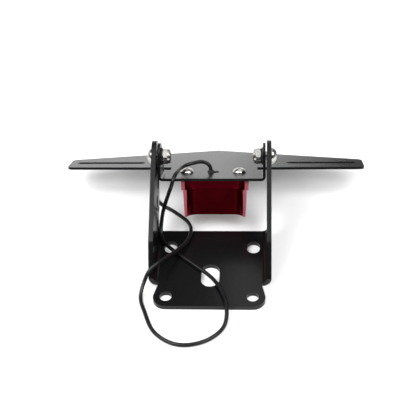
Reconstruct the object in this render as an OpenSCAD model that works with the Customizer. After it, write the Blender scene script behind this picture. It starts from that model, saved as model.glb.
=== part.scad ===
// Fender eliminator: a folded base bracket with two arms, a winged number plate
// bracket that tilts between them, a plate light under its tongue and the light's lead.
// Millimetres. X is the width, +Y runs back from the base to the plate, +Z is up.
// The origin lies on the underside of the base, midway between the two front holes.

/* [Base bracket] */
// Thickness of the folded base bracket
bracket_t = 4; // [3:0.25:5]
// Half width between the outer faces of the arms
arm_x = 51.5; // [49:0.5:60]
// Inner radius of the folds between the base and the arms
bracket_bend_r = 4; // [2.5:0.5:6]
// Front edge of the base, ahead of the front holes
front_lip = 11; // [9:0.5:18]
// Half width of the base at its front corners
front_half_w = 46.5; // [44:0.5:50]
// Radius of the front corners
front_corner_r = 10.5; // [4:0.5:10.5]
// Where the relief notches start, behind the front holes
notch_y = 14; // [10:0.5:18]
// Length of each relief notch
notch_w = 2.5; // [1.5:0.5:5]
// Rear edge of the base, behind the front holes
rear_y = 80; // [74:1:92]

/* [Base holes] */
// Distance between the two front holes, and between the two rear slots
hole_spacing = 72; // [60:1:74]
// Diameter of the front holes
front_hole_d = 10.2; // [6:0.2:11]
// Width of the rear slots
rear_slot_w = 11; // [6:0.2:12]
// Overall length of the rear slots
rear_slot_l = 14.5; // [13:0.5:18]
// Centre of the rear slots, behind the front holes
rear_slot_y = 59; // [52:0.5:66]
// Width of the wiring opening
wire_hole_w = 15.5; // [10:0.5:20]
// Overall length of the wiring opening
wire_hole_l = 26; // [21:0.5:30]
// Centre of the wiring opening, behind the front holes
wire_hole_y = 24.5; // [20:0.5:30]

/* [Arms] */
// How far back the pivot bolts are
pivot_y = 108; // [104:0.5:120]
// How high the pivot bolts are above the underside
pivot_z = 66.5; // [62:0.5:72]
// Radius of the rounded end of each arm
arm_end_r = 13.5; // [12:0.5:16]
// How far back the shoulder of each arm is
shoulder_y = 34.5; // [30:0.5:40]
// How high the shoulder of each arm is
shoulder_z = 33; // [28:0.5:38]
// Radius of that shoulder
shoulder_r = 9; // [3:0.5:12]
// Height of the straight rear foot of each arm
heel_z = 12; // [9:0.5:18]
// Diameter of the indicator holes
indicator_hole_d = 10.5; // [8:0.5:11]
// Rear indicator hole, distance back
indicator_rear_y = 96.5; // [95:0.5:98]
// Rear indicator hole, height
indicator_rear_z = 45.5; // [44:0.5:46]
// Front indicator hole, distance back
indicator_front_y = 81; // [79:0.5:82.5]
// Front indicator hole, height
indicator_front_z = 38; // [36:0.5:40]

/* [Plate bracket] */
// Thickness of the plate bracket's sheet
sheet_t = 2.3; // [1.5:0.1:3]
// Gap between each arm and the tab beside it
tab_gap = 1; // [0.5:0.25:3]
// Inner radius of the folds between the tongue and the tabs
tab_bend_r = 1.5; // [1:0.25:3]
// How far the tongue's top face lies below the pivot bolts
tongue_drop = 17.9; // [16:0.1:24]
// Radius of the rounded top of each tab, and how far the pivots lie behind the tongue's front edge
tab_r = 9.5; // [9:0.5:11]
// How far the centre of that rounding lies above the pivots
tab_rise = 2; // [0:0.5:3]
// Length of each tab along the tongue
tab_l = 33; // [30:0.5:37]
// Half width of the neck between the relief notches
neck_half_w = 39; // [36:0.5:40]
// Front edge of the wings, behind the tongue's front edge
wing_front = 44; // [42:0.5:50]
// How much further back the wings' front edge lies at the tips
wing_sweep = 1.5; // [0:0.5:6]
// Half width over the wings
wing_half_w = 135.5; // [132:0.5:145]
// Depth of the wings at the tips
tip_depth = 32; // [26:0.5:40]
// Rear point of the plate bracket, behind the tongue's front edge
apex_v = 120; // [112:0.5:126]
// Radius of the wing corners
tip_r = 5; // [1:0.5:10]

/* [Plate slots] */
// Distance from the centre line to the middle of each slot
slot_u = 97.2; // [90:0.5:104]
// Overall length of each slot
slot_l = 63; // [30:1:70]
// Width of each slot
slot_w = 6.8; // [5:0.1:8.5]
// Centre line of the slots, behind the tongue's front edge
slot_v = 63.5; // [56:0.5:68]

/* [Pivot bolts] */
// Diameter of the pivot bolts
bolt_d = 8; // [6:1:8]
// Length of the pivot bolts under the head
bolt_l = 16; // [16:1:25]
// Diameter of the button heads
bolt_head_d = 14; // [12:0.5:16]
// Height of the button heads
bolt_head_h = 4.4; // [3:0.1:5]
// Width across the flats of the nuts
nut_af = 13; // [12.5:0.5:15]
// Height of the nuts
nut_h = 7; // [6:0.5:9]
// Diameter of the washers
washer_d = 15; // [14:0.5:17]
// Thickness of the washers
washer_t = 1.2; // [1:0.2:2]

/* [Plate light] */
// Width of the light's flange
flange_w = 58.4; // [58:0.2:62]
// Thickness of the light's flange
flange_h = 9; // [7:0.5:10]
// Width of the light's body under the flange
body_w = 55.2; // [50:0.2:56]
// How much each side of the body leans in towards the bottom
body_lean = 1; // [0:0.25:3]
// Height of the whole light
light_h = 33; // [28:0.5:36]
// Depth of the light, front to back
light_depth = 34; // [32:0.5:40]
// Front of the light, behind the tongue's front edge
light_v = 4; // [3:0.5:8]
// How far the light sits to the right of the centre line
light_shift = 2.25; // [0:0.25:2.25]
// Depth of the trough in the light's front
trough_depth = 8; // [4:0.5:10]
// Corner radius of that trough
trough_r = 10; // [2:0.5:12]
// Width of the two edges beside the trough
trough_edge = 2.8; // [2:0.2:5]
// Width of the lens window
window_w = 44; // [34:1:44]
// Height of the lens window
window_h = 14; // [11:0.5:16]
// Thickness of the lens
lens_t = 3; // [2:0.25:4]
// Number of light-emitting diodes
led_count = 3; // [3:1:6]

/* [Light screws and lead] */
// Distance between the two light screws
screw_spacing = 46.6; // [44:0.2:47]
// Screws and wire slot, behind the tongue's front edge
screw_v = 25.5; // [24:0.5:28]
// Diameter of the light screws
screw_d = 5; // [4:0.5:5]
// Length of the light screws under the head
screw_l = 9; // [7:0.5:10]
// Diameter of their heads
screw_head_d = 12; // [9:0.5:13]
// Height of their heads
screw_head_h = 3.3; // [2:0.1:4]
// Width of the wire slot in the tongue
wire_slot_w = 7; // [6.5:0.25:9]
// Overall length of the wire slot
wire_slot_l = 11; // [10:0.5:16]
// Diameter of the lead
lead_d = 3.4; // [3:0.1:3.6]

/* [Hidden] */
$fn = 64;
// Clearance all round a bolt, a screw or a piece that drops into a pocket
fit = 0.1;
// Clearance between faces that turn on each other
turn_gap = 0.1;
// How far a cutting shape runs past what it cuts
past = 1;
// How far an arc stands proud of the straight sides that run into it, so that they cross
seam = 0.002;

// Base bracket
arm_inner_x = arm_x - bracket_t;
bend_outer_r = bracket_bend_r + bracket_t;
bend_x = arm_x - bend_outer_r;
fold_front_y = notch_y + notch_w;
fold_l = rear_y - fold_front_y;
// How far the straight foot of each arm leans out behind the base
heel_back = 1;

// Plate bracket, in its own frame: u across, v back along the sheet from the tongue's
// front edge, h square to the sheet from its top face
tab_x = arm_inner_x - tab_gap;
tab_inner_x = tab_x - sheet_t;
tab_bend_outer_r = tab_bend_r + sheet_t;
tab_bend_u = tab_x - tab_bend_outer_r;
bolt_v = tab_r;
tip_rear_v = wing_front + wing_sweep + tip_depth;
// The bracket leans back until its rear point lies in the plane of the base's underside
reach_v = apex_v - bolt_v;
reach_h = tongue_drop + sheet_t;
reach = sqrt(reach_v * reach_v + reach_h * reach_h);
tilt = atan2(reach_v, reach_h) - acos(pivot_z / reach);

// Bolts
washer_x = tab_inner_x - turn_gap;
nut_x = washer_x - washer_t;
insert_h = 1.9;
insert_d = bolt_d + 3;
nut_lip = 0.5;
nut_face_d = nut_af - 0.8;
collar_h = insert_h + nut_lip;
collar_d = nut_af - 0.6;
collar_chamfer = 0.8;
socket_af = 5;
socket_h = 2.6;
point_chamfer = 0.5;
// A button head from its rim to its crown, in shares of its radius and its height
head_profile = [[1, 0.18], [0.94, 0.42], [0.8, 0.72], [0.55, 1]];

// Plate light, whose top face lies against the underside of the sheet
light_top = -sheet_t;
body_h = light_h - flange_h;
light_corner_r = 3;
seal_side = 3;
seal_rise = 2;
pocket_w = window_w - 2 * seal_side;
pocket_h = window_h - 2 * seal_rise;
lens_v = light_v + light_depth - lens_t;
seal_t = 1;
pocket_l = 9;
board_t = 1.6;
board_v = lens_v - seal_t - pocket_l;
led_w = 3.5;
led_h = 1.5;
window_lip = 1.5;
window_top = light_top - flange_h - window_lip;
window_mid = window_top - window_h / 2;
gland_d = lead_d + 2.4;
gland_rise = 1.5;
gland_seat = 1;
gland_u = -2;
screw_socket_af = 3;
screw_socket_h = 1.8;

// Plug at the lead's end
plug_w = 9;
plug_h = 7;
plug_l = 18;
plug_boot_l = 5;
boot_wall = 0.5;
pin_pitch = 4.2;
pin_l = 7;
pin_d = 1.5;
cavity_w = 2.8;
cavity_l = 8;
cavity_x = plug_boot_l + plug_l - cavity_l;

// Helpers
function unit(v) = v / norm(v);
function turned(v) = [-v[1], v[0]];
// Where the line from point p touches the circle about c, on its left (side 1) or right (-1)
function touch_point(p, c, r, side) =
    let (gap = c - p, run = sqrt(gap * gap - r * r), along = unit(gap), k = run / norm(gap))
    p + run * (k * along - side * (r / norm(gap)) * turned(along));
// How far a corner's rounding of radius r reaches along its two sides
function corner_cut(a, b, c, r) =
    let (turn = acos(unit(b - a) * unit(c - b)))
    r * tan(turn / 2);
function corner_centre(a, b, c, r) =
    let (k = corner_cut(a, b, c, r), inward = unit(unit(a - b) + unit(c - b)))
    b + inward * sqrt(k * k + r * r);

// A convex outline with true arcs at its corners; radii gives one radius for each point
module rounded_outline(points, radii) {
    n = len(points);
    polygon([
        for (i = [0 : n - 1])
            let (a = points[(i + n - 1) % n], b = points[i], c = points[(i + 1) % n],
                 k = corner_cut(a, b, c, radii[i]))
            each (k > 0 ? [b + unit(a - b) * k, b + unit(c - b) * k] : [b])
    ]);
    for (i = [0 : n - 1])
        if (radii[i] > 0)
            translate(corner_centre(points[(i + n - 1) % n], points[i], points[(i + 1) % n], radii[i]))
                circle(r = radii[i] + seam);
}

module slot_outline(length, width) {
    square([length - width, width], center = true);
    for (side = [-1, 1])
        translate([side * (length - width) / 2, 0])
            circle(d = width);
}

// A quarter of a folded sheet's bend, drawn from the flat at [0, 0] up to the wall
module bend_outline(inner_r, t) {
    intersection() {
        difference() {
            circle(r = inner_r + t);
            circle(r = inner_r);
        }
        translate([0, -inner_r - t])
            square(inner_r + t);
    }
}

// Turns a drawing of [y, z] points into a plate of thickness t that grows towards +X
module side_plate(x, t) {
    translate([x, 0, 0])
        rotate([90, 0, 90])
            linear_extrude(t)
                children();
}

module in_plate_frame() {
    translate([0, pivot_y, pivot_z])
        rotate([-tilt, 0, 0])
            translate([0, -bolt_v, -tongue_drop])
                children();
}

// Stands a turned shape on an arm's outer face at the pivot, its axis pointing outwards
module at_pivot(side, x) {
    translate([side * x, pivot_y, pivot_z])
        rotate([0, side * 90, 0])
            children();
}

// Base bracket
module base_outline() {
    shoulder = [bend_x, notch_y];
    corner = [front_half_w - front_corner_r, front_corner_r - front_lip];
    side_touch = touch_point(shoulder, corner, front_corner_r, -1);
    for (side = [-1, 1])
        translate([side * corner[0], corner[1]])
            circle(r = front_corner_r + seam);
    polygon([
        [-corner[0], -front_lip], [corner[0], -front_lip], corner, side_touch, shoulder,
        [bend_x, rear_y], [-bend_x, rear_y],
        [-shoulder[0], shoulder[1]], [-side_touch[0], side_touch[1]], [-corner[0], corner[1]]
    ]);
}

module base_holes() {
    for (side = [-1, 1]) {
        translate([side * hole_spacing / 2, 0, -past])
            cylinder(d = front_hole_d, h = bracket_t + 2 * past);
        translate([side * hole_spacing / 2, rear_slot_y, -past])
            linear_extrude(bracket_t + 2 * past)
                rotate(90)
                    slot_outline(rear_slot_l, rear_slot_w);
    }
    translate([0, wire_hole_y, -past])
        linear_extrude(bracket_t + 2 * past)
            rotate(90)
                slot_outline(wire_hole_l, wire_hole_w);
}

module arm_outline() {
    foot_front = [fold_front_y, bend_outer_r];
    foot_rear = [rear_y, bend_outer_r];
    heel = [rear_y + heel_back, heel_z];
    shoulder = [shoulder_y, shoulder_z];
    pivot = [pivot_y, pivot_z];
    crest = touch_point(shoulder, pivot, arm_end_r, -1);
    chin = touch_point(heel, pivot, arm_end_r, 1);
    rounded_outline([foot_front, foot_rear, heel, chin, pivot, crest, shoulder],
                    [0, 0, 0, 0, 0, 0, shoulder_r]);
    translate(pivot)
        circle(r = arm_end_r + seam);
}

module arm_holes(x, t) {
    for (hole = [[pivot_y, pivot_z, bolt_d + 4 * fit],
                 [indicator_rear_y, indicator_rear_z, indicator_hole_d],
                 [indicator_front_y, indicator_front_z, indicator_hole_d]])
        translate([x - past, hole[0], hole[1]])
            rotate([0, 90, 0])
                cylinder(d = hole[2], h = t + 2 * past);
}

module right_arm() {
    difference() {
        side_plate(arm_inner_x, bracket_t)
            arm_outline();
        arm_holes(arm_inner_x, bracket_t);
    }
    translate([bend_x, rear_y, bend_outer_r])
        rotate([90, 0, 0])
            linear_extrude(fold_l)
                bend_outline(bracket_bend_r, bracket_t);
}

module main_bracket() {
    color("#1d1d1f") {
        difference() {
            linear_extrude(bracket_t)
                base_outline();
            base_holes();
        }
        right_arm();
        mirror([1, 0, 0])
            right_arm();
    }
}

// Plate bracket
module plate_outline() {
    polygon([
        [-tab_bend_u, 0], [tab_bend_u, 0], [tab_bend_u, tab_l], [neck_half_w, tab_l],
        [neck_half_w, wing_front + past], [-neck_half_w, wing_front + past],
        [-neck_half_w, tab_l], [-tab_bend_u, tab_l]
    ]);
    rounded_outline([
        [-wing_half_w, wing_front + wing_sweep], [0, wing_front], [wing_half_w, wing_front + wing_sweep],
        [wing_half_w, tip_rear_v], [0, apex_v], [-wing_half_w, tip_rear_v]
    ], [tip_r, 0, tip_r, tip_r, 0, tip_r]);
}

module plate_cuts() {
    for (side = [-1, 1]) {
        translate([side * slot_u, slot_v])
            slot_outline(slot_l, slot_w);
        translate([side * screw_spacing / 2, screw_v])
            circle(d = screw_d + 4 * fit);
    }
    translate([0, screw_v])
        slot_outline(wire_slot_l, wire_slot_w);
}

module tab_outline() {
    foot_rear = [tab_l, tab_bend_r];
    top = [bolt_v, tongue_drop + tab_rise];
    crest = touch_point(foot_rear, top, tab_r, 1);
    polygon([[0, tab_bend_r], foot_rear, crest, top, [0, top[1]]]);
    translate(top)
        circle(r = tab_r + seam);
}

module right_tab() {
    difference() {
        side_plate(tab_inner_x, sheet_t)
            tab_outline();
        translate([tab_inner_x - past, bolt_v, tongue_drop])
            rotate([0, 90, 0])
                cylinder(d = bolt_d + 2 * turn_gap, h = sheet_t + 2 * past);
    }
    translate([tab_bend_u, tab_l, tab_bend_r])
        rotate([90, 0, 0])
            linear_extrude(tab_l)
                bend_outline(tab_bend_r, sheet_t);
}

module plate_bracket() {
    color("#29292b")
        in_plate_frame() {
            translate([0, 0, -sheet_t])
                linear_extrude(sheet_t)
                    difference() {
                        plate_outline();
                        plate_cuts();
                    }
            right_tab();
            mirror([1, 0, 0])
                right_tab();
        }
}

// Pivot bolts, nuts, inserts and washers
module button_screw(d, l, head_d, head_h, af, af_h) {
    difference() {
        rotate_extrude()
            polygon([
                [0, -l], [d / 2 - point_chamfer, -l], [d / 2, point_chamfer - l],
                [d / 2, 0], [head_d / 2, 0],
                for (share = head_profile) [share[0] * head_d / 2, share[1] * head_h],
                [0, head_h]
            ]);
        translate([0, 0, head_h - af_h])
            cylinder(d = af / cos(30), h = af_h + past, $fn = 6);
    }
}

module pivot_bolt(side) {
    color("silver")
        at_pivot(side, arm_x)
            button_screw(bolt_d, bolt_l, bolt_head_d, bolt_head_h, socket_af, socket_h);
}

// The nut's flats end in a round collar that holds the insert
module pivot_nut(side) {
    color("silver")
        at_pivot(side, nut_x)
            difference() {
                union() {
                    intersection() {
                        translate([0, 0, collar_h - nut_h])
                            cylinder(d = nut_af / cos(30), h = nut_h - collar_h, $fn = 6);
                        translate([0, 0, -nut_h])
                            cylinder(d1 = nut_face_d + 2 * nut_h, d2 = nut_face_d, h = nut_h);
                    }
                    translate([0, 0, -nut_h])
                        cylinder(d1 = collar_d - 2 * collar_chamfer, d2 = collar_d, h = collar_chamfer);
                    translate([0, 0, collar_chamfer - nut_h])
                        cylinder(d = collar_d, h = collar_h - collar_chamfer);
                }
                translate([0, 0, -nut_h - past])
                    cylinder(d = bolt_d + 2 * fit, h = nut_h + 2 * past);
                translate([0, 0, nut_lip - nut_h])
                    cylinder(d = insert_d, h = insert_h);
            }
}

module nut_insert(side) {
    color("white")
        at_pivot(side, nut_x)
            translate([0, 0, nut_lip - nut_h])
                difference() {
                    cylinder(d = insert_d, h = insert_h);
                    translate([0, 0, -past])
                        cylinder(d = bolt_d + 2 * fit, h = insert_h + 2 * past);
                }
}

module nut_washer(side) {
    color("#303033")
        at_pivot(side, washer_x)
            translate([0, 0, -washer_t])
                difference() {
                    cylinder(d = washer_d, h = washer_t);
                    translate([0, 0, -past])
                        cylinder(d = bolt_d + 4 * fit, h = washer_t + 2 * past);
                }
}

// Plate light
module trough_outline(w) {
    rounded_outline([
        [-w / 2, -past - trough_r], [w / 2, -past - trough_r], [w / 2, trough_depth], [-w / 2, trough_depth]
    ], [0, 0, trough_r, trough_r]);
}

module light_section(w) {
    difference() {
        rounded_outline([[-w / 2, 0], [w / 2, 0], [w / 2, light_depth], [-w / 2, light_depth]],
                        [0, 0, light_corner_r, light_corner_r]);
        trough_outline(w - 2 * trough_edge);
    }
}

// The body's front view: its sides lean in towards the bottom
module body_front() {
    polygon([
        [-body_w / 2, 0], [body_w / 2, 0],
        [body_w / 2 - body_lean, -body_h], [body_lean - body_w / 2, -body_h]
    ]);
}

module window_box(w, h, v0, v1) {
    translate([-w / 2, v0, window_mid - h / 2])
        cube([w, v1 - v0, h]);
}

module light_shell() {
    translate([0, light_v, light_top - flange_h])
        linear_extrude(flange_h)
            light_section(flange_w);
    intersection() {
        translate([0, light_v, light_top - light_h])
            linear_extrude(body_h)
                light_section(body_w);
        translate([0, light_v + light_depth + past, light_top - flange_h])
            rotate([90, 0, 0])
                linear_extrude(light_depth + 2 * past)
                    body_front();
    }
}

module light_housing() {
    color("#8c0d22")
        in_plate_frame()
            translate([light_shift, 0, 0])
                difference() {
                    light_shell();
                    window_box(window_w, window_h, lens_v - seal_t, light_v + light_depth + past);
                    window_box(pocket_w, pocket_h, board_v, lens_v);
                    for (side = [-1, 1])
                        translate([side * screw_spacing / 2 - light_shift, screw_v, light_top - screw_l - fit + sheet_t])
                            cylinder(d = screw_d + 2 * fit, h = screw_l);
                    translate([gland_u - light_shift, screw_v, window_mid])
                        cylinder(d = gland_d, h = light_top - window_mid + past);
                }
}

module light_lens() {
    color("#dfe9f0")
        in_plate_frame()
            translate([light_shift, 0, 0])
                window_box(window_w - 2 * fit, window_h - 2 * fit, lens_v, light_v + light_depth);
}

module lens_seal() {
    color("#141414")
        in_plate_frame()
            translate([light_shift, 0, 0])
                difference() {
                    window_box(window_w - 2 * fit, window_h - 2 * fit, lens_v - seal_t, lens_v);
                    window_box(pocket_w, pocket_h, lens_v - seal_t - past, lens_v + past);
                }
}

module led_board() {
    color("white")
        in_plate_frame()
            translate([light_shift, 0, 0])
                window_box(pocket_w - 2 * fit, pocket_h - 2 * fit, board_v, board_v + board_t);
}

module leds() {
    pitch = pocket_w / led_count;
    color("#f4e27a")
        in_plate_frame()
            for (i = [0 : led_count - 1])
                translate([light_shift + (i - (led_count - 1) / 2) * pitch, 0, 0])
                    window_box(led_w, led_w, board_v + board_t, board_v + board_t + led_h);
}

module light_screw(side) {
    color("silver")
        in_plate_frame()
            translate([side * screw_spacing / 2, screw_v, 0])
                button_screw(screw_d, screw_l, screw_head_d, screw_head_h, screw_socket_af, screw_socket_h);
}

// A rubber sleeve, tight in the housing, that stands up through the wire slot
module cable_gland() {
    color("#151515")
        in_plate_frame()
            translate([gland_u, screw_v, light_top - flange_h + gland_seat])
                cylinder(d = gland_d - 2 * fit, h = flange_h - gland_seat + sheet_t + gland_rise);
}

// The lead is a tube with flat sides, swept along its own centre line. The line starts on
// the gland, crosses the tongue, drops to the base, makes the loop in front, climbs over
// the left arm's front edge and runs along the surface under the wings.
lead_points = [
[-4.3, 117.7, 49.8], [-10, 118.7, 51.8], [-17, 118.2, 50.9], [-24, 114.6, 51],
    [-28.2, 107.5, 53], [-30.2, 99.5, 56], [-31.4, 94, 57.2], [-33, 88.7, 55.8], [-34.9, 85.8, 50.6],
    [-37.6, 85.3, 43], [-45.4, 80, 14.4], [-45.6, 73, 7.9], [-43, 64.5, 6.2],
    [-34.5, 54, 5.9], [-15.5, 36.5, 5.9], [3.5, 17, 5.9], [11.5, 1, 5.9],
    [14.8, -12, 5.9], [13.2, -31, 1.8], [-4, -47.5, 1.7], [-23, -50, 1.7], [-40, -40, 1.7],
    [-52, -16, 1.7], [-57, 2, 2.8], [-54.5, 12.3, 8.8], [-50.6, 17.6, 15.2], [-45.8, 21.8, 18.5],
    [-40.5, 28.5, 17.7], [-35.5, 37.5, 14.1], [-29.5, 48.5, 10.4], [-22.5, 62, 7.5], [-19.5, 77, 6.7],
    [-23, 92, 3.2], [-36, 107.5, 1.7], [-51, 120.5, 1.7], [-60, 140, 1.7], [-59, 163, 1.7],
    [-44, 177, 1.7], [30, 177, 3.5]
];
lead_sides = 8;
lead_steps = 2;
plug_at = lead_points[len(lead_points) - 1];

// A point given in the plate bracket's own frame, in the part's frame
function from_plate(u, v, h) =
    let (dv = v - bolt_v, dh = h - tongue_drop)
    [u, pivot_y + dv * cos(tilt) + dh * sin(tilt), pivot_z - dv * sin(tilt) + dh * cos(tilt)];
// The path's direction at the middle one of three points; the shorter side counts more
function slope(a, b, c) = unit((c - b) * norm(b - a) / norm(c - b) + (b - a) * norm(c - b) / norm(b - a));
// A curve from b to c that leaves along from and arrives along to, t of the way
function curve(b, c, from, to, t) =
    let (d = norm(c - b))
    b + (c - b) * t * t * (3 - 2 * t) + from * d * t * (1 - t) * (1 - t) - to * d * t * t * (1 - t);
function lifted(p) = [p[0], p[1], max(p[2], lead_d / 2)];
function smooth_path(points, first, last, steps) =
    let (n = len(points) - 1,
         slopes = [first, for (i = [1 : n - 1]) slope(points[i - 1], points[i], points[i + 1]), last])
    [
        for (i = [0 : n - 1])
            for (k = [0 : steps - 1])
                lifted(curve(points[i], points[i + 1], slopes[i], slopes[i + 1], k / steps)),
        points[n]
    ];
function along(path, i, first, last) =
    i == 0 ? first : i == len(path) - 1 ? last : unit(path[i + 1] - path[i - 1]);
// Carries a side direction along the path without letting it twist
function square_to(side, direction) = unit(side - direction * (side * direction));
function ring(centre, direction, side, r, sides) =
    [for (k = [0 : sides - 1]) let (a = 360 * k / sides)
        centre + r * (cos(a) * side + sin(a) * cross(direction, side))];

module tube(path, r, sides, first, last) {
    n = len(path);
    rings = [
        for (i = 0, side = square_to([0, 0, 1], first);
             i < n;
             i = i + 1, side = i < n ? square_to(side, along(path, i, first, last)) : side)
            ring(path[i], along(path, i, first, last), side, r, sides)
    ];
    polyhedron(
        points = [for (one = rings) each one],
        faces = [
            [for (k = [0 : sides - 1]) k],
            for (i = [0 : n - 2], k = [0 : sides - 1])
                let (a = i * sides + k, b = i * sides + (k + 1) % sides)
                each [[a, a + sides, b], [b, a + sides, b + sides]],
            [for (k = [sides - 1 : -1 : 0]) (n - 1) * sides + k]
        ]
    );
}

module lead() {
    exit = from_plate(gland_u, screw_v, gland_rise);
    out = from_plate(0, 0, 1) - from_plate(0, 0, 0);
    path = smooth_path([exit, each lead_points], out, [1, 0, 0], lead_steps);
    color("#19191b")
        tube(path, lead_d / 2, lead_sides, out, [1, 0, 0]);
}

// A two-way plug that lies at the lead's end
module lead_plug() {
    color("#202022")
        translate(plug_at)
            difference() {
                union() {
                    rotate([0, 90, 0])
                        cylinder(d1 = lead_d + 2 * boot_wall, d2 = plug_h - 2 * boot_wall, h = plug_boot_l);
                    translate([plug_boot_l, -plug_w / 2, -plug_at[2]])
                        cube([plug_l, plug_w, plug_h]);
                }
                for (side = [-1, 1])
                    translate([cavity_x, side * pin_pitch / 2 - cavity_w / 2, -cavity_w / 2])
                        cube([cavity_l + past, cavity_w, cavity_w]);
            }
}

module plug_pins() {
    color("#c9a24a")
        for (side = [-1, 1])
            translate(plug_at + [cavity_x, side * pin_pitch / 2, 0])
                rotate([0, 90, 0])
                    cylinder(d = pin_d, h = pin_l);
}

main_bracket();
plate_bracket();
pivot_bolt(-1);  // pivot_bolt_left
pivot_bolt(1);  // pivot_bolt_right
pivot_nut(-1);  // pivot_nut_left
pivot_nut(1);  // pivot_nut_right
nut_insert(-1);  // nut_insert_left
nut_insert(1);  // nut_insert_right
nut_washer(-1);  // nut_washer_left
nut_washer(1);  // nut_washer_right
light_housing();
light_lens();
lens_seal();
led_board();
leds();
light_screw(-1);  // light_screw_left
light_screw(1);  // light_screw_right
cable_gland();
lead();
lead_plug();
plug_pins();
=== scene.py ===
# %% [markdown]
# A fender eliminator, dressed in Blender
#
# The real object is a small steel assembly for the back of a motorcycle: a folded base with
# two arms, a winged number plate bracket that tilts between the arms, a red plate light
# under its tongue, and the light's thin lead. The solids come from a CAD model and are
# already at their true size. What is left for Blender is the look: the powder coat, the
# plated hardware, the anodised light, and the lead, which is soft and so is drawn here.
#
# Everything is in metres, in the CAD model's own frame. X is the width, +Y runs back from
# the base to the plate, +Z is up, and the base's underside lies at Z = 0.

# %% The frame, and the tools that the cells below share
import math

import bmesh
import bpy
from mathutils import Matrix, Vector


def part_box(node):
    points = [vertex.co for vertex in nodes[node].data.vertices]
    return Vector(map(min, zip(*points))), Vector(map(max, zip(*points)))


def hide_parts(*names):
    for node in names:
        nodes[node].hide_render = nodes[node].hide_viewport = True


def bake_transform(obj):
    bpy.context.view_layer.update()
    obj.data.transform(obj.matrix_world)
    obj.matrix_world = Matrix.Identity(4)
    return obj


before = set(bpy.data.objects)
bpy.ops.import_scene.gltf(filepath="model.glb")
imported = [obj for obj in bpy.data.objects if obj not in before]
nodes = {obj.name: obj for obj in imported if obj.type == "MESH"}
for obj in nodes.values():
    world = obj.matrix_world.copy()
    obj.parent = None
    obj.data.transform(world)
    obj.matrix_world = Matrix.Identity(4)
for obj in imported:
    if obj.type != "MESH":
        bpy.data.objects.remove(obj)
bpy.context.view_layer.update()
MM = 0.001

# %% [markdown]
# ## The camera
#
# The photograph looks down at the object from in front, a little from the right. A long lens
# keeps the wings from spreading, so the camera stands well back. Its place and its three
# turns are written as plain values: yaw turns it left, pitch tips it down, roll tilts the
# horizon. A camera starts out looking straight down, so pitch counts from there.

# %% Camera
CAMERA_AT = Vector((0.0477, -0.5379, 0.5695))
CAMERA_YAW = math.radians(4.74)
CAMERA_PITCH = math.radians(40.97)
CAMERA_ROLL = math.radians(-3.08)
FOCAL_PIXELS = 943.9
IMAGE_PIXELS = 416

bpy.ops.object.camera_add()
camera = bpy.context.object
camera.name = "camera"
camera.data.sensor_width = 36
camera.data.lens = camera.data.sensor_width * FOCAL_PIXELS / IMAGE_PIXELS
camera.data.clip_end = 20
camera.matrix_world = (
    Matrix.Translation(CAMERA_AT)
    @ Matrix.Rotation(CAMERA_YAW, 4, "Z")
    @ Matrix.Rotation(math.radians(90) - CAMERA_PITCH, 4, "X")
    @ Matrix.Rotation(CAMERA_ROLL, 4, "Z")
)
bpy.context.scene.camera = camera
print("lens:", round(camera.data.lens, 1), "mm")

# %% [markdown]
# ## The lead
#
# The lead is a thin two-core cable with a soft vinyl jacket. It stands straight up out of
# its rubber gland, bends over, crosses the tongue, drops down inside the left arm and makes
# one loose loop in front of the base. Then it climbs over the arm's front edge, crosses
# itself and runs away under the wings to its plug.
#
# A cable could be simulated, but this one has a shape that the photograph fixes almost
# everywhere. So its centre line is a list of points, and a smooth curve is
# drawn through them. At each point the curve heads along the mean of its two neighbouring
# stretches, and the shorter stretch counts for more. That keeps an even bend where a long
# stretch meets a short one.

# %% The lead's route
LEAD_D = 3.4 * MM
LEAD_POINTS = [
    (-4.3, 117.7, 49.8), (-10, 118.7, 51.8), (-17, 118.2, 50.9), (-24, 114.6, 51),
    (-28.2, 107.5, 53), (-30.2, 99.5, 56), (-31.4, 94, 57.2), (-33, 88.7, 55.8),
    (-34.9, 85.8, 50.6), (-37.6, 85.3, 43), (-45.4, 80, 14.4), (-45.6, 73, 7.9), (-43, 64.5, 6.2),
    (-34.5, 54, 5.9), (-15.5, 36.5, 5.9), (3.5, 17, 5.9), (11.5, 1, 5.9), (14.8, -12, 5.9),
    (13.2, -31, 1.8), (-4, -47.5, 1.7), (-23, -50, 1.7), (-40, -40, 1.7), (-52, -16, 1.7),
    (-57, 2, 2.8), (-54.5, 12.3, 8.8), (-50.6, 17.6, 15.2), (-45.8, 21.8, 18.5),
    (-40.5, 28.5, 17.7), (-35.5, 37.5, 14.1), (-29.5, 48.5, 10.4), (-22.5, 62, 7.5),
    (-19.5, 77, 6.7), (-23, 92, 3.2), (-36, 107.5, 1.7), (-51, 120.5, 1.7), (-60, 140, 1.7),
    (-59, 163, 1.7), (-44, 177, 1.7), (30, 177, 3.5),
]
TILT = math.radians(25.94)
PLATE_OUT = Vector((0, math.sin(TILT), math.cos(TILT)))
LEAD_EXIT = Vector((-2, 115.214, 44.753)) * MM


def slope(a, b, c):
    before, after = (b - a).length, (c - b).length
    return ((c - b) * before / after + (b - a) * after / before).normalized()


def smooth_path(points, first, last, steps):
    """A smooth curve through the points, which leaves along first and arrives along last."""
    slopes = [first, *(slope(*points[i - 1:i + 2]) for i in range(1, len(points) - 1)), last]
    path = []
    for (b, c), (out, into) in zip(zip(points, points[1:]), zip(slopes, slopes[1:])):
        reach = (c - b).length
        for k in range(steps):
            t = k / steps
            p = b + (c - b) * t * t * (3 - 2 * t)
            p += out * reach * t * (1 - t) ** 2 - into * reach * t * t * (1 - t)
            p.z = max(p.z, LEAD_D / 2)
            path.append(p)
    return [*path, points[-1]]


lead_route = [LEAD_EXIT, *(Vector(p) * MM for p in LEAD_POINTS)]
lead_path = smooth_path(lead_route, PLATE_OUT, Vector((1, 0, 0)), 8)
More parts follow.
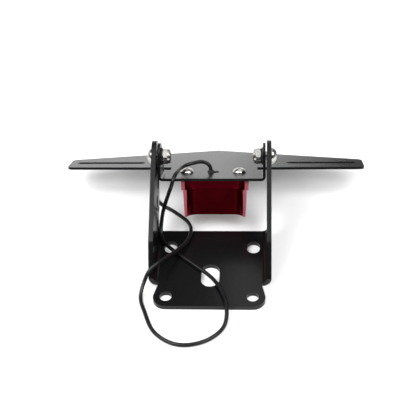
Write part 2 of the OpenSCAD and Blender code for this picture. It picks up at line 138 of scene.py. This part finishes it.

# %% [markdown]
# The path becomes a curve with a round section, which gives a clean tube of even quads, and
# the curve is then made a mesh. A mesh is needed because the lead crosses the joint: its top
# end sits in the light, which tilts with the plate, and the rest lies still.

# %% The lead as a tube
LEAD_SIDES_QUARTER = 3


def tube_along(name, path, radius, quarter):
    """A closed round tube along a path, as a mesh."""
    curve = bpy.data.curves.new(name, "CURVE")
    curve.dimensions = "3D"
    curve.bevel_depth = radius
    curve.bevel_resolution = quarter
    curve.use_fill_caps = True
    spline = curve.splines.new("POLY")
    spline.points.add(len(path) - 1)
    for point, place in zip(spline.points, path):
        point.co = (*place, 1)
    tube = bpy.data.objects.new(name, curve)
    bpy.context.scene.collection.objects.link(tube)
    bpy.ops.object.select_all(action="DESELECT")
    tube.select_set(True)
    bpy.context.view_layer.objects.active = tube
    bpy.ops.object.convert(target="MESH")
    tube = bpy.context.object
    tube.name = name
    bpy.ops.object.shade_smooth_by_angle(angle=math.radians(50))
    return tube


lead = tube_along("lead_tube", lead_path, LEAD_D / 2, LEAD_SIDES_QUARTER)
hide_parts("lead")
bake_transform(lead)
print("lead tube:", len(lead.data.polygons), "faces")

# %% [markdown]
# ## Finishes
#
# Each finish is a material of its own, and what several of them share is a node group. The
# first group is a surface grain: two sizes of noise, one for the slow ripple and one for the
# fine grain, joined into one height. It gives a normal, and a mask that a material can use to
# vary its colour or its roughness. All patterns read Object coordinates in metres, so a scale
# of 1000 puts a grain about every millimetre.
#
# No real edge is perfectly sharp, and a coat rounds it further. A Bevel node turns the
# normals near an edge, so that it catches a thin line of light without any new geometry.

# %% Node helpers and the grain group
def socket(group, name, way, kind, value=None):
    made = group.interface.new_socket(name=name, in_out=way, socket_type=kind)
    if value is not None:
        made.default_value = value


def grain_group():
    group = bpy.data.node_groups.new("surface_grain", "ShaderNodeTree")
    socket(group, "Ripple scale", "INPUT", "NodeSocketFloat", 400)
    socket(group, "Grain scale", "INPUT", "NodeSocketFloat", 2500)
    socket(group, "Ripple share", "INPUT", "NodeSocketFloat", 0.5)
    socket(group, "Strength", "INPUT", "NodeSocketFloat", 0.2)
    socket(group, "Depth", "INPUT", "NodeSocketFloat", 0.0001)
    socket(group, "Edge normal", "INPUT", "NodeSocketVector")
    socket(group, "Normal", "OUTPUT", "NodeSocketVector")
    socket(group, "Ripple", "OUTPUT", "NodeSocketFloat")
    socket(group, "Grain", "OUTPUT", "NodeSocketFloat")
    new, link = group.nodes.new, group.links.new
    inputs, outputs = new("NodeGroupInput"), new("NodeGroupOutput")
    place = new("ShaderNodeTexCoord")
    ripple, grain = new("ShaderNodeTexNoise"), new("ShaderNodeTexNoise")
    ripple.inputs["Detail"].default_value = 2
    grain.inputs["Detail"].default_value = 3
    for noise, scale in ((ripple, "Ripple scale"), (grain, "Grain scale")):
        link(place.outputs["Object"], noise.inputs["Vector"])
        link(inputs.outputs[scale], noise.inputs["Scale"])
    height = new("ShaderNodeMix")
    link(inputs.outputs["Ripple share"], height.inputs["Factor"])
    link(grain.outputs["Fac"], height.inputs["A"])
    link(ripple.outputs["Fac"], height.inputs["B"])
    bump = new("ShaderNodeBump")
    link(inputs.outputs["Strength"], bump.inputs["Strength"])
    link(inputs.outputs["Depth"], bump.inputs["Distance"])
    link(height.outputs["Result"], bump.inputs["Height"])
    link(inputs.outputs["Edge normal"], bump.inputs["Normal"])
    link(bump.outputs["Normal"], outputs.inputs["Normal"])
    link(ripple.outputs["Fac"], outputs.inputs["Ripple"])
    link(grain.outputs["Fac"], outputs.inputs["Grain"])
    return group


GRAIN = grain_group()


class Finish:
    """A material with one Principled shader, and short ways to add and join nodes."""

    def __init__(self, name, **values):
        self.material = bpy.data.materials.new(name)
        self.material.use_nodes = True
        self.nodes = self.material.node_tree.nodes
        self.shader = self.nodes["Principled BSDF"]
        for key, value in values.items():
            self.shader.inputs[key.replace("_", " ")].default_value = value

    def add(self, kind, **values):
        node = self.nodes.new(kind)
        for key, value in values.items():
            node.inputs[key.replace("_", " ")].default_value = value
        return node

    def link(self, out, into):
        self.material.node_tree.links.new(out, into)

    def grain(self, edge=0.0003, **values):
        """Adds the grain, on a surface whose sharp edges look rounded by the radius edge."""
        rounded = self.add("ShaderNodeBevel", Radius=edge)
        rounded.samples = 6
        node = self.nodes.new("ShaderNodeGroup")
        node.node_tree = GRAIN
        for key, value in values.items():
            node.inputs[key.replace("_", " ")].default_value = value
        self.link(rounded.outputs["Normal"], node.inputs["Edge normal"])
        self.link(node.outputs["Normal"], self.shader.inputs["Normal"])
        return node

    def vary(self, mask, name, low, high, start=0.35, end=0.65):
        """Drives a number of the shader between low and high with a mask."""
        spread = self.add("ShaderNodeMapRange", From_Min=start, From_Max=end, To_Min=low, To_Max=high)
        self.link(mask, spread.inputs["Value"])
        self.link(spread.outputs["Result"], self.shader.inputs[name])

    def tint(self, mask, dark, light, start=0.35, end=0.65):
        """Drives the colour between two colours with a mask."""
        ramp = self.nodes.new("ShaderNodeValToRGB")
        for stop, place, colour in zip(ramp.color_ramp.elements, (start, end), (dark, light)):
            stop.position = place
            stop.color = (*colour, 1)
        self.link(mask, ramp.inputs["Fac"])
        self.link(ramp.outputs["Color"], self.shader.inputs["Base Color"])

    def rings(self, centre, axis, scale):
        """Rings of light and dark round an axis through a point, for a turned face."""
        place = self.add("ShaderNodeTexCoord")
        shift = self.add("ShaderNodeMapping", Location=-Vector(centre))
        wave = self.add("ShaderNodeTexWave", Scale=scale, Distortion=0.4)
        wave.wave_type = "RINGS"
        wave.rings_direction = axis
        self.link(place.outputs["Object"], shift.inputs["Vector"])
        self.link(shift.outputs["Vector"], wave.inputs["Vector"])
        return wave.outputs["Fac"]


print("grain group:", [item.name for item in GRAIN.interface.items_tree])

# %% [markdown]
# ## Powder coat
#
# Both brackets are steel sheet under a satin black powder coat. Close up, such a coat has a
# faint orange peel and a finer grain, and it is never quite black: it is a dark grey plastic
# skin. Where it is seen at a grazing angle, as on the wings, it mirrors the white room
# and turns mid grey. A dielectric shader does that by itself, so no paleness is painted in.

# %% Powder coat
def powder_coat(name, dark, light, rough_low, rough_high):
    coat = Finish(name, Specular_IOR_Level=0.3)
    grain = coat.grain(Ripple_scale=420, Grain_scale=2200, Ripple_share=0.5, Strength=0.014, Depth=0.0001)
    coat.tint(grain.outputs["Grain"], dark, light)
    coat.vary(grain.outputs["Ripple"], "Roughness", rough_low, rough_high)
    return coat.material


bracket_coat = powder_coat("bracket_coat", (0.003, 0.003, 0.0035), (0.006, 0.006, 0.0065), 0.22, 0.25)
plate_coat = powder_coat("plate_coat", (0.004, 0.004, 0.0045), (0.008, 0.008, 0.0085), 0.24, 0.26)
washer_coat = powder_coat("washer_coat", (0.010, 0.010, 0.011), (0.018, 0.018, 0.02), 0.32, 0.45)
print("powder coats:", bracket_coat.name, plate_coat.name, washer_coat.name)

# %% [markdown]
# ## Plated hardware
#
# The bolts, nuts and screws are bright zinc. They were turned or pressed, so their faces
# carry faint rings round their own axes. The rings are a wave texture, centred on the pivot
# or on the screw with a Mapping node, and they only disturb the roughness.

# %% Zinc plate
PIVOT = Vector((0, 0.108, 0.0665))


def zinc_plate(name, centre, axis):
    zinc = Finish(name, Metallic=1.0, Base_Color=(0.78, 0.78, 0.80, 1))
    grain = zinc.grain(Ripple_scale=300, Grain_scale=4200, Ripple_share=0.2, Strength=0.08, Depth=0.00006)
    rings = zinc.rings(centre, axis, 900)
    zinc.vary(rings, "Roughness", 0.14, 0.26, 0.1, 0.9)
    zinc.tint(grain.outputs["Ripple"], (0.50, 0.49, 0.47), (0.62, 0.61, 0.58))
    return zinc.material


pivot_zinc = zinc_plate("pivot_zinc", PIVOT, "X")
print("hardware:", pivot_zinc.name)

# %% Where each light screw stands
SCREW_TURN = math.radians(90) - TILT


def screw_zinc(side):
    low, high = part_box("light_screw_" + side)
    return zinc_plate("screw_zinc_" + side, (low + high) / 2, "SPHERICAL")


screw_zincs = {side: screw_zinc(side) for side in ("left", "right")}
print("screw finishes:", sorted(screw_zincs))

# %% [markdown]
# ## Red anodised light
#
# The light's housing is milled aluminium with a deep red dye under a clear oxide skin. The
# photograph shows two finishes on it. The trough in its front is smooth, and mirrors its dark
# surroundings in deep red. The narrow rims beside the trough are cut and less metallic, and
# their pale, nearly pink colour is also a painted highlight that stands in for the shine of
# the clear oxide on their front faces. A mask tells them apart: it is one on the few tenths of
# a millimetre at the front, measured square to the plate bracket's own tilt. Milling leaves
# fine parallel lines, which a stretched noise gives.

# %% Anodised red
RIM_AT = 0.0625
RIM_DEPTH = 0.0006
FLANGE_FROM = 0.0778
EDGE_BLUR = 0.0004

anodised = Finish("anodised_red", Coat_Weight=0.1, Coat_Roughness=0.25)
grain = anodised.grain(edge=0.0004, Ripple_scale=60, Grain_scale=2600, Ripple_share=0.6, Strength=0.04, Depth=0.00005)
place = anodised.add("ShaderNodeTexCoord")
tilted = anodised.add("ShaderNodeMapping", Rotation=(TILT, 0, 0))
split_axes = anodised.add("ShaderNodeSeparateXYZ")
# The rim mask marks the cut front rims: it carries their real, less metallic finish and a painted highlight colour.
rim = anodised.add("ShaderNodeMapRange", From_Min=RIM_AT + RIM_DEPTH, From_Max=RIM_AT + RIM_DEPTH / 2)
anodised.link(place.outputs["Object"], tilted.inputs["Vector"])
anodised.link(tilted.outputs["Vector"], split_axes.inputs["Vector"])
anodised.link(split_axes.outputs["Y"], rim.inputs["Value"])

deep = anodised.nodes.new("ShaderNodeValToRGB")
for stop, spot, colour in zip(deep.color_ramp.elements, (0.35, 0.65), ((0.15, 0.001, 0.006), (0.20, 0.002, 0.010))):
    stop.position = spot
    stop.color = (*colour, 1)
anodised.link(grain.outputs["Ripple"], deep.inputs["Fac"])


def overlay(mask, under, colour):
    """Lays a colour over another one where a mask is one."""
    mix = anodised.nodes.new("ShaderNodeMix")
    mix.data_type = "RGBA"
    mix.inputs["B"].default_value = colour
    anodised.link(mask, mix.inputs["Factor"])
    anodised.link(under, mix.inputs["A"])
    return mix.outputs["Result"]


flange = anodised.add("ShaderNodeMapRange", From_Min=FLANGE_FROM - EDGE_BLUR, From_Max=FLANGE_FROM + EDGE_BLUR)
anodised.link(split_axes.outputs["Z"], flange.inputs["Value"])
with_flange = overlay(flange.outputs["Result"], deep.outputs["Color"], (0.30, 0.003, 0.018, 1))
# The rims' pale pink is partly a painted highlight for the oxide's shine; the lower metallic set below is their real
# cut finish.
with_rim_highlight = overlay(rim.outputs["Result"], with_flange, (0.46, 0.09, 0.12, 1))
anodised.link(with_rim_highlight, anodised.shader.inputs["Base Color"])
anodised.vary(rim.outputs["Result"], "Metallic", 1.0, 0.3, 0.0, 1.0)

mill_stretch = anodised.add("ShaderNodeMapping", Scale=(30, 1400, 1400))
mill_lines = anodised.add("ShaderNodeTexNoise", Scale=1.0, Detail=3)
anodised.link(place.outputs["Object"], mill_stretch.inputs["Vector"])
anodised.link(mill_stretch.outputs["Vector"], mill_lines.inputs["Vector"])
anodised.vary(mill_lines.outputs["Fac"], "Roughness", 0.29, 0.31)
print("light housing:", anodised.material.name)

# %% [markdown]
# ## Small parts
#
# The jacket and the gland are soft and nearly black, with a sheen that a low, slightly uneven
# roughness gives. The plug is moulded nylon with a fine matt texture. The lock nuts' inserts
# are pale nylon that lets a little light through. The lens is lightly frosted, so that it
# spreads the light over the number plate. Behind it sit a white board and its yellow diodes.

# %% Vinyl, rubber, nylon and brass
vinyl = Finish("vinyl_jacket", Specular_IOR_Level=0.35)
grain = vinyl.grain(Ripple_scale=180, Grain_scale=2200, Ripple_share=0.7, Strength=0.15, Depth=0.0001)
vinyl.tint(grain.outputs["Ripple"], (0.004, 0.004, 0.0045), (0.008, 0.008, 0.009))
vinyl.vary(grain.outputs["Grain"], "Roughness", 0.22, 0.32)

rubber = Finish("black_rubber")
grain = rubber.grain(Ripple_scale=500, Grain_scale=3000, Ripple_share=0.4, Strength=0.3, Depth=0.0001)
rubber.tint(grain.outputs["Grain"], (0.012, 0.012, 0.012), (0.026, 0.026, 0.026))
rubber.vary(grain.outputs["Ripple"], "Roughness", 0.6, 0.78)

plug_nylon = Finish("plug_nylon")
grain = plug_nylon.grain(Ripple_scale=700, Grain_scale=3600, Ripple_share=0.3, Strength=0.35, Depth=0.0001)
plug_nylon.tint(grain.outputs["Grain"], (0.014, 0.014, 0.015), (0.028, 0.028, 0.030))
plug_nylon.vary(grain.outputs["Ripple"], "Roughness", 0.42, 0.58)

insert_nylon = Finish("insert_nylon", Subsurface_Weight=0.3, Subsurface_Scale=0.001)
grain = insert_nylon.grain(Ripple_scale=400, Grain_scale=2500, Ripple_share=0.5, Strength=0.1, Depth=0.0001)
insert_nylon.tint(grain.outputs["Ripple"], (0.62, 0.64, 0.68), (0.78, 0.80, 0.83))
insert_nylon.vary(grain.outputs["Grain"], "Roughness", 0.35, 0.5)

brass = Finish("pin_brass", Metallic=1.0)
grain = brass.grain(Ripple_scale=600, Grain_scale=4000, Ripple_share=0.3, Strength=0.2, Depth=0.00005)
brass.tint(grain.outputs["Ripple"], (0.60, 0.40, 0.15), (0.75, 0.53, 0.24))
brass.vary(grain.outputs["Grain"], "Roughness", 0.22, 0.36)
print("small finishes:", vinyl.material.name, rubber.material.name, plug_nylon.material.name)

# %% Lens, board and diodes
lens = Finish("clear_lens", Transmission_Weight=0.45, IOR=1.49)
grain = lens.grain(Ripple_scale=250, Grain_scale=1800, Ripple_share=0.9, Strength=0.08, Depth=0.0001)
lens.tint(grain.outputs["Ripple"], (0.86, 0.90, 0.94), (0.96, 0.97, 0.98))
lens.vary(grain.outputs["Grain"], "Roughness", 0.12, 0.22)

board = Finish("board_white")
grain = board.grain(Ripple_scale=300, Grain_scale=3000, Ripple_share=0.5, Strength=0.1, Depth=0.00005)
board.tint(grain.outputs["Ripple"], (0.70, 0.70, 0.67), (0.83, 0.83, 0.80))
board.vary(grain.outputs["Grain"], "Roughness", 0.32, 0.5)

diode = Finish("diode_yellow", Coat_Weight=0.6)
grain = diode.grain(Ripple_scale=900, Grain_scale=5000, Ripple_share=0.5, Strength=0.1, Depth=0.00005)
diode.tint(grain.outputs["Ripple"], (0.78, 0.66, 0.16), (0.90, 0.82, 0.35))
diode.vary(grain.outputs["Grain"], "Roughness", 0.2, 0.35)
print("light's inside:", lens.material.name, board.material.name, diode.material.name)

# %% [markdown]
# ## Putting the finishes on
#
# A CAD node keeps its shape and only gets its finish, through its object's material slot.

# %% Finishes on the solids
FINISHES = {
    "main_bracket": bracket_coat,
    "plate_bracket": plate_coat,
    "light_housing": anodised.material,
    "light_lens": lens.material,
    "lens_seal": rubber.material,
    "led_board": board.material,
    "leds": diode.material,
    "cable_gland": rubber.material,
    "lead_plug": plug_nylon.material,
    "plug_pins": brass.material,
}
for side in ("left", "right"):
    FINISHES["pivot_bolt_" + side] = pivot_zinc
    FINISHES["pivot_nut_" + side] = pivot_zinc
    FINISHES["nut_washer_" + side] = washer_coat
    FINISHES["nut_insert_" + side] = insert_nylon.material
    FINISHES["light_screw_" + side] = screw_zincs[side]


def paint(piece, material):
    piece.data.materials.clear()
    piece.data.materials.append(material)


for name, material in FINISHES.items():
    paint(nodes[name], material)
paint(lead, vinyl.material)
print("painted:", len(FINISHES) + 1, "pieces")

# %% [markdown]
# ## Floor, backdrop and light
#
# The photograph was taken on a white sweep that burns out to pure white, with only soft grey
# shadows under the object. The floor here is a pale matt plane. Where the camera, a mirror or
# a glass looks at it, a little glow is added to its lit colour, so it reaches white and still
# darkens in the shadows. Away from the object the lamps fade and the glow takes over. The
# light itself stays plain, so that every colour renders about as it is written.
#
# A mirror shows the white sweep behind the object and low down, and the white ceiling right
# overhead. Between them it shows the dark of the room, as in the photograph, where the flat
# base stays nearly black while the wings, seen at a grazing angle, shine grey, and the nuts
# have one bright facet each.

# %% Floor
FLOOR_SIZE = 6.0
FLOOR_Z = -0.0002
FLOOR_COLOUR = (0.8, 0.8, 0.8, 1)
FLOOR_GLOW = 0.08
CAMERA_GLOW = 0.18
GLOW_FROM = 0.35
GLOW_FULL = 1.2

bpy.ops.object.select_all(action="DESELECT")
bpy.ops.mesh.primitive_plane_add(size=FLOOR_SIZE, location=(0, 0.5, FLOOR_Z))
floor = bpy.context.object
floor.name = "floor"
bpy.ops.object.transform_apply(location=True, rotation=True, scale=True)


def stretch(tree, value, from_low, from_high, to_low, to_high):
    """Stretches one range of a number onto another."""
    node = tree.nodes.new("ShaderNodeMapRange")
    bounds = {"From Min": from_low, "From Max": from_high, "To Min": to_low, "To Max": to_high}
    for name, bound in bounds.items():
        if isinstance(bound, (int, float)):
            node.inputs[name].default_value = bound
        else:
            tree.links.new(bound, node.inputs[name])
    tree.links.new(value, node.inputs["Value"])
    return node.outputs["Result"]


def seen_rays(tree):
    """One where a ray comes from the camera, a mirror or a glass, and nought elsewhere."""
    path = tree.nodes.new("ShaderNodeLightPath")
    total = path.outputs["Is Camera Ray"]
    for kind in ("Is Glossy Ray", "Is Transmission Ray"):
        join = tree.nodes.new("ShaderNodeMath")
        join.operation = "MAXIMUM"
        tree.links.new(total, join.inputs[0])
        tree.links.new(path.outputs[kind], join.inputs[1])
        total = join.outputs["Value"]
    return total


floor_finish = bpy.data.materials.new("floor_white")
floor_finish.use_nodes = True
tree = floor_finish.node_tree
matt = tree.nodes["Principled BSDF"]
matt.inputs["Base Color"].default_value = FLOOR_COLOUR
matt.inputs["Roughness"].default_value = 1.0
matt.inputs["Specular IOR Level"].default_value = 0.0
matt.inputs["Emission Color"].default_value = (1, 1, 1, 1)
spot = tree.nodes.new("ShaderNodeNewGeometry").outputs["Position"]
far_off = tree.nodes.new("ShaderNodeVectorMath")
far_off.operation = "LENGTH"
tree.links.new(spot, far_off.inputs[0])
glow_here = stretch(tree, far_off.outputs["Value"], GLOW_FROM, GLOW_FULL, CAMERA_GLOW, 1.0)
camera_ray = tree.nodes.new("ShaderNodeLightPath").outputs["Is Camera Ray"]
glow_seen = stretch(tree, camera_ray, 0.0, 1.0, FLOOR_GLOW, glow_here)
glow = stretch(tree, seen_rays(tree), 0.0, 1.0, 0.0, glow_seen)
tree.links.new(glow, matt.inputs["Emission Strength"])
paint(floor, floor_finish)
print("floor:", FLOOR_SIZE, "m wide")

# %% [markdown]
# The wings are so flat to the eye that they mirror what stands behind the object. In the
# photograph the right wing darkens towards its tip, so something dark stood there. A dark
# card does the same here. Only mirrors see it: the camera and the lamps look through it.

# %% Dark card
CARD_FROM = 0.0
SOFT_TO = 0.13
CARD_PALE = 1.28
CARD_DARK = 0.10
CARD_TO = 0.9
CARD_AT = 0.22
CARD_HIGH = 0.5

bpy.ops.object.select_all(action="DESELECT")
bpy.ops.mesh.primitive_plane_add(size=1, rotation=(math.radians(90), 0, 0))
card = bpy.context.object
card.name = "dark_card"
card.scale = (CARD_TO - CARD_FROM, CARD_HIGH, 1)
card.location = ((CARD_TO + CARD_FROM) / 2, CARD_AT, CARD_HIGH / 2)
bpy.ops.object.transform_apply(location=True, rotation=True, scale=True)
card.visible_camera = False
card.visible_diffuse = False
card.visible_shadow = False
card.visible_transmission = False
card_finish = Finish("card_black", Base_Color=(0.01, 0.01, 0.01, 1), Roughness=0.9)
card_finish.shader.inputs["Emission Color"].default_value = (1, 1, 1, 1)
tree = card_finish.material.node_tree
place = tree.nodes.new("ShaderNodeTexCoord")
split = tree.nodes.new("ShaderNodeSeparateXYZ")
tree.links.new(place.outputs["Object"], split.inputs["Vector"])
fade = stretch(tree, split.outputs["X"], CARD_FROM, SOFT_TO, CARD_PALE, CARD_DARK)
tree.links.new(fade, card_finish.shader.inputs["Emission Strength"])
paint(card, card_finish.material)
print("card:", round(CARD_TO - CARD_FROM, 2), "m wide")

# %% World and lamps
WORLD_LIGHT = 0.6
ROOM_GREY = 0.06
CEILING = 1.0
world = bpy.data.worlds.new("white_room")
bpy.context.scene.world = world
world.use_nodes = True
tree = world.node_tree
room = tree.nodes["Background"]
room.inputs["Color"].default_value = (1, 1, 1, 1)

heading = tree.nodes.new("ShaderNodeTexCoord")
split = tree.nodes.new("ShaderNodeSeparateXYZ")
tree.links.new(heading.outputs["Generated"], split.inputs["Vector"])
sweep_low = stretch(tree, split.outputs["Z"], 0.25, 0.5, 1.0, 0.0)
sweep_back = stretch(tree, split.outputs["Y"], -0.2, 0.3, ROOM_GREY, 1.0)
sweep = stretch(tree, sweep_low, 0.0, 1.0, ROOM_GREY, sweep_back)
camera_ray = tree.nodes.new("ShaderNodeLightPath").outputs["Is Camera Ray"]
ceiling = stretch(tree, split.outputs["Z"], 0.80, 0.92, 0.0, 1.0)
room_seen = stretch(tree, ceiling, 0.0, 1.0, sweep, CEILING)
backdrop = stretch(tree, camera_ray, 0.0, 1.0, room_seen, 1.0)
level = stretch(tree, seen_rays(tree), 0.0, 1.0, WORLD_LIGHT, backdrop)
tree.links.new(level, room.inputs["Strength"])


def soft_box(name, place, aim, width, depth, power):
    """A large rectangular lamp that points from a place at a point."""
    bpy.ops.object.light_add(type="AREA", location=place)
    lamp = bpy.context.object
    lamp.name = name
    lamp.data.shape = "RECTANGLE"
    lamp.data.size = width
    lamp.data.size_y = depth
    lamp.data.energy = power
    lamp.rotation_euler = (Vector(aim) - Vector(place)).to_track_quat("-Z", "Y").to_euler()
    return lamp


AIM = (0, 0.08, 0.03)
soft_box("key_box", (-0.6, -0.25, 0.95), AIM, 0.9, 0.6, 12)
soft_box("fill_box", (0.6, -0.25, 0.95), AIM, 0.9, 0.6, 9)

# %% View transform, and the end
bpy.context.scene.view_settings.view_transform = "Standard"
